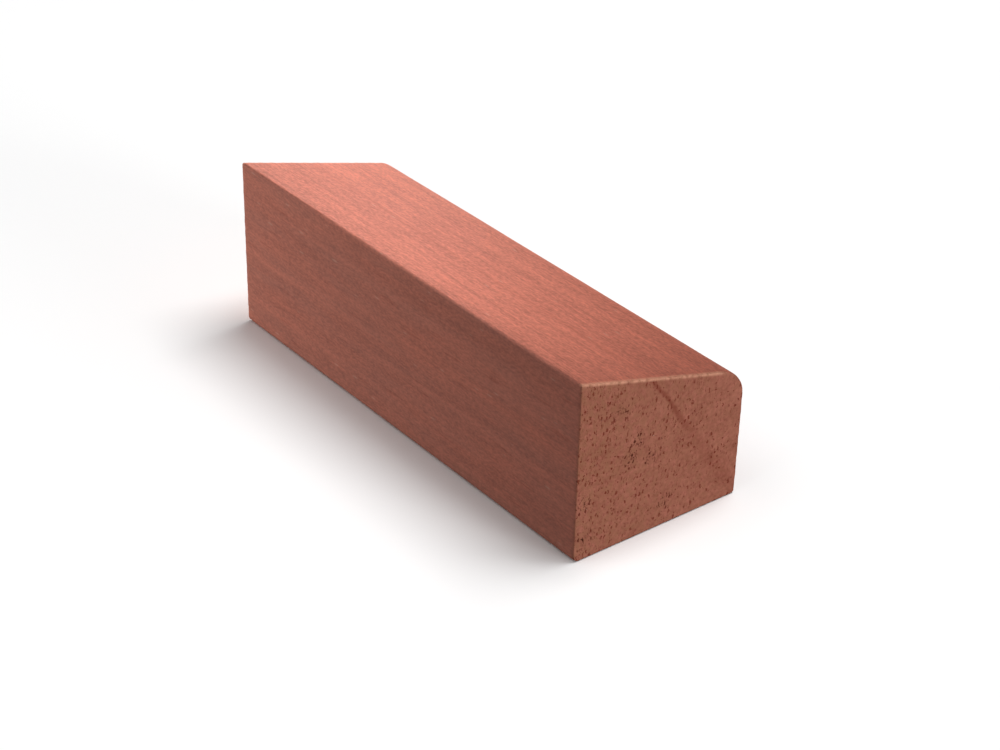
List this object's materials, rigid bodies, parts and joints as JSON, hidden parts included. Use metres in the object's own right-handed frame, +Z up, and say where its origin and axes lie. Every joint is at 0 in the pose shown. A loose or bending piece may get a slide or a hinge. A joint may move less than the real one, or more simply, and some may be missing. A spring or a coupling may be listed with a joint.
{
  "type": "glazing bead",
  "caption": "Short sawn length of hardwood glazing bead: flat base, tall glass side, and a top that slopes away to a rounded arris on the room side.",
  "frame": {"origin": "middle of the base face, halfway along the length", "axes": "+X across the bead from the glass side to the room side, +Y along the grain, +Z up from the base face"},
  "size_m": [0.018, 0.05, 0.0169],
  "materials": {
    "hardwood": "planed, unfinished, matt"
  },
  "bodies": {
    "root": {"glazing_bead": "hardwood"}
  },
  "joints": []
}
